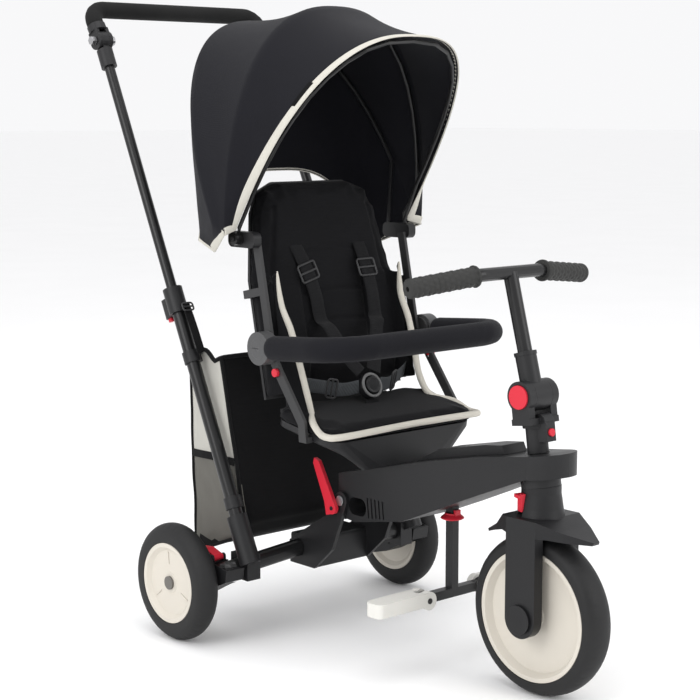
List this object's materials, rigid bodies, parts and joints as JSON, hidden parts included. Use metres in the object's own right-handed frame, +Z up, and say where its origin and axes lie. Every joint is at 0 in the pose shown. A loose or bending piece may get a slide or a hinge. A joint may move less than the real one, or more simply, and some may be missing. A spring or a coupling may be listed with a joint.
{
  "type": "children's tricycle",
  "caption": "Folding push-along children's tricycle with a beam frame, padded seat, harness, bumper bar, canopy, storage bag and telescopic parent handle",
  "frame": {"origin": "on the ground, under the middle of the overall box", "axes": "+X forward to the front wheel, +Y to the rider's left, +Z up"},
  "size_m": [0.9453, 0.49, 0.9543],
  "materials": {
    "body_plastic": "fine grained moulded plastic, slight sheen",
    "fork_plastic": "moulded plastic, satin",
    "grey_plastic": "mid grey moulded plastic, satin",
    "disc_plastic": "cream grey moulded plastic, satin",
    "foot_plastic": "off-white moulded plastic, satin",
    "red_plastic": "red moulded plastic, glossy",
    "tyre_rubber": "moulded rubber, matte",
    "grip_rubber": "ribbed soft rubber, matte",
    "foam": "closed cell foam, matte",
    "tube_paint": "black powder coat, semi-gloss",
    "steel": "zinc plated steel",
    "fabric_dark": "woven charcoal polyester with off-white piping",
    "webbing": "woven webbing",
    "bush_plastic": "self-coloured bearing plastic"
  },
  "bodies": {
    "frame": {"beam_shell_right": "body_plastic", "beam_shell_left": "body_plastic", "spine_cover": "body_plastic", "body_fasteners": "steel", "head_bushes": "bush_plastic", "seat_pan": "body_plastic", "seat_cushion": "fabric_dark", "seat_rails": "grey_plastic", "lap_straps": "webbing", "buckle": "grey_plastic"},
    "steering": {"fork": "fork_plastic", "front_axle": "fork_plastic", "steerer_tube": "steel", "steerer_sleeve": "fork_plastic"},
    "front_wheel": {"front_tyre": "tyre_rubber", "front_disc": "disc_plastic"},
    "fork_lock": {"fork_lock_tab": "red_plastic"},
    "fold_button": {"fold_button": "red_plastic"},
    "sleeve_button": {"sleeve_button": "red_plastic"},
    "handlebar": {"hinge_knuckle": "fork_plastic", "stem_tube": "tube_paint", "handlebar_tube": "tube_paint", "grips": "grip_rubber"},
    "foot_bar": {"foot_post": "tube_paint"},
    "post_catch": {"post_catch": "red_plastic"},
    "foot_rest_right": {"foot_rest_right": "foot_plastic"},
    "foot_rest_left": {"foot_rest_left": "foot_plastic"},
    "rear_frame": {"hoop_tube": "tube_paint", "frame_brackets": "fork_plastic", "rear_axles": "steel", "axle_covers": "fork_plastic", "push_tubes_lower": "tube_paint", "push_collars": "fork_plastic", "bag": "fabric_dark", "bag_straps": "webbing"},
    "brakes": {"brake_levers": "red_plastic"},
    "fold_lever": {"fold_lever": "red_plastic"},
    "rear_wheel_right": {"rear_tyre_right": "tyre_rubber", "rear_disc_right": "disc_plastic"},
    "rear_wheel_left": {"rear_tyre_left": "tyre_rubber", "rear_disc_left": "disc_plastic"},
    "collar_catches": {"collar_catches": "red_plastic"},
    "push_upper": {"push_tubes_upper": "tube_paint", "elbows_lower": "fork_plastic"},
    "handle": {"elbows_upper": "fork_plastic", "elbow_bolts": "steel", "handle_tube": "tube_paint", "handle_foam": "foam"},
    "backrest": {"back_panel": "fork_plastic", "back_cushion": "fabric_dark", "back_rails": "grey_plastic", "shoulder_straps": "webbing", "canopy_pods": "fork_plastic"},
    "canopy_front": {"canopy_rim": "tube_paint", "canopy_fabric": "fabric_dark"},
    "canopy_middle": {"canopy_rib": "tube_paint"},
    "bumper": {"bumper_bar": "grey_plastic", "bumper_foam": "foam"},
    "bumper_buttons": {"bumper_buttons": "red_plastic"},
    "buckle_button": {"buckle_button": "grey_plastic"}
  },
  "joints": [
    {"name": "steering", "type": "hinge", "parent": "frame", "child": "steering", "pos_m": [0.35768, 0, 0.29], "axis": [-0.1392, 0, 0.9903], "range_deg": [-40, 40]},
    {"name": "front_wheel_spin", "type": "hinge", "parent": "steering", "child": "front_wheel", "pos_m": [0.36168, 0, 0.111], "axis": [0, 1, 0], "continuous": true},
    {"name": "fork_lock", "type": "slide", "parent": "steering", "child": "fork_lock", "axis": [0, 0, -1], "range_m": [0, 0.005]},
    {"name": "fold_button_press", "type": "slide", "parent": "steering", "child": "fold_button", "axis": [0, 1, 0], "range_m": [0, 0.003], "stiffness_N_per_m": 400, "springref_m": -0.001},
    {"name": "sleeve_button_press", "type": "slide", "parent": "steering", "child": "sleeve_button", "axis": [-0.9903, 0, -0.1392], "range_m": [0, 0.0025], "stiffness_N_per_m": 400, "springref_m": -0.001},
    {"name": "handlebar_fold", "type": "hinge", "parent": "steering", "child": "handlebar", "pos_m": [0.34125, 0, 0.40685], "axis": [0, -1, 0], "range_deg": [0, 75]},
    {"name": "foot_bar_height", "type": "slide", "parent": "frame", "child": "foot_bar", "axis": [0, 0, 1], "range_m": [-0.03, 0]},
    {"name": "post_catch_pull", "type": "slide", "parent": "frame", "child": "post_catch", "axis": [0, 0, -1], "range_m": [0, 0.005], "stiffness_N_per_m": 150, "springref_m": -0.002},
    {"name": "foot_rest_right_fold", "type": "hinge", "parent": "foot_bar", "child": "foot_rest_right", "pos_m": [0.19168, -0.058, 0.105], "axis": [-1, 0, 0], "range_deg": [0, 85]},
    {"name": "foot_rest_left_fold", "type": "hinge", "parent": "foot_bar", "child": "foot_rest_left", "pos_m": [0.19168, 0.058, 0.105], "axis": [1, 0, 0], "range_deg": [0, 85]},
    {"name": "rear_frame_fold", "type": "hinge", "parent": "frame", "child": "rear_frame", "pos_m": [0.01568, 0, 0.215], "axis": [0, -1, 0], "range_deg": [0, 90]},
    {"name": "brake_press", "type": "hinge", "parent": "rear_frame", "child": "brakes", "pos_m": [-0.11032, 0, 0.128], "axis": [0, -1, 0], "range_deg": [0, 7]},
    {"name": "fold_lever_pull", "type": "hinge", "parent": "rear_frame", "child": "fold_lever", "pos_m": [0.00568, 0, 0.203], "axis": [0, -1, 0], "range_deg": [0, 25], "stiffness_Nm_per_rad": 0.4, "springref_deg": -8.59},
    {"name": "rear_wheel_right_spin", "type": "hinge", "parent": "rear_frame", "child": "rear_wheel_right", "pos_m": [-0.16032, 0, 0.088], "axis": [0, 1, 0], "continuous": true},
    {"name": "rear_wheel_left_spin", "type": "hinge", "parent": "rear_frame", "child": "rear_wheel_left", "pos_m": [-0.16032, 0, 0.088], "axis": [0, 1, 0], "continuous": true},
    {"name": "collar_catch_press", "type": "slide", "parent": "rear_frame", "child": "collar_catches", "axis": [-0.4289, 0, 0.9033], "range_m": [0, 0.003], "stiffness_N_per_m": 400, "springref_m": -0.001},
    {"name": "handle_telescope", "type": "slide", "parent": "rear_frame", "child": "push_upper", "axis": [0.4289, 0, -0.9033], "range_m": [0, 0.3]},
    {"name": "handle_tilt", "type": "hinge", "parent": "push_upper", "child": "handle", "pos_m": [-0.42562, 0, 0.89116], "axis": [0, -1, 0], "range_deg": [-60, 45]},
    {"name": "backrest_recline", "type": "hinge", "parent": "frame", "child": "backrest", "pos_m": [-0.05032, 0, 0.346], "axis": [0, -1, 0], "range_deg": [0, 12]},
    {"name": "canopy_fold", "type": "hinge", "parent": "backrest", "child": "canopy_front", "pos_m": [-0.08533, 0, 0.6], "axis": [0, -1, 0], "range_deg": [0, 45], "deforming": ["canopy_fabric"]},
    {"name": "canopy_middle_fold", "type": "hinge", "parent": "backrest", "child": "canopy_middle", "pos_m": [-0.08533, 0, 0.6], "axis": [0, -1, 0], "range_deg": [0, 22.5]},
    {"name": "bumper_lift", "type": "hinge", "parent": "frame", "child": "bumper", "pos_m": [-0.03232, 0, 0.446], "axis": [0, -1, 0], "range_deg": [0, 60]},
    {"name": "bumper_button_pull", "type": "slide", "parent": "frame", "child": "bumper_buttons", "axis": [0, 0, -1], "range_m": [0, 0.003], "stiffness_N_per_m": 400, "springref_m": -0.001},
    {"name": "buckle_press", "type": "slide", "parent": "frame", "child": "buckle_button", "axis": [-0.9272, 0, -0.3746], "range_m": [0, 0.0025], "stiffness_N_per_m": 400, "springref_m": -0.001}
  ],
  "couplings": [
    {"joint": "canopy_middle_fold", "follows": "canopy_fold", "ratio": 0.5}
  ]
}
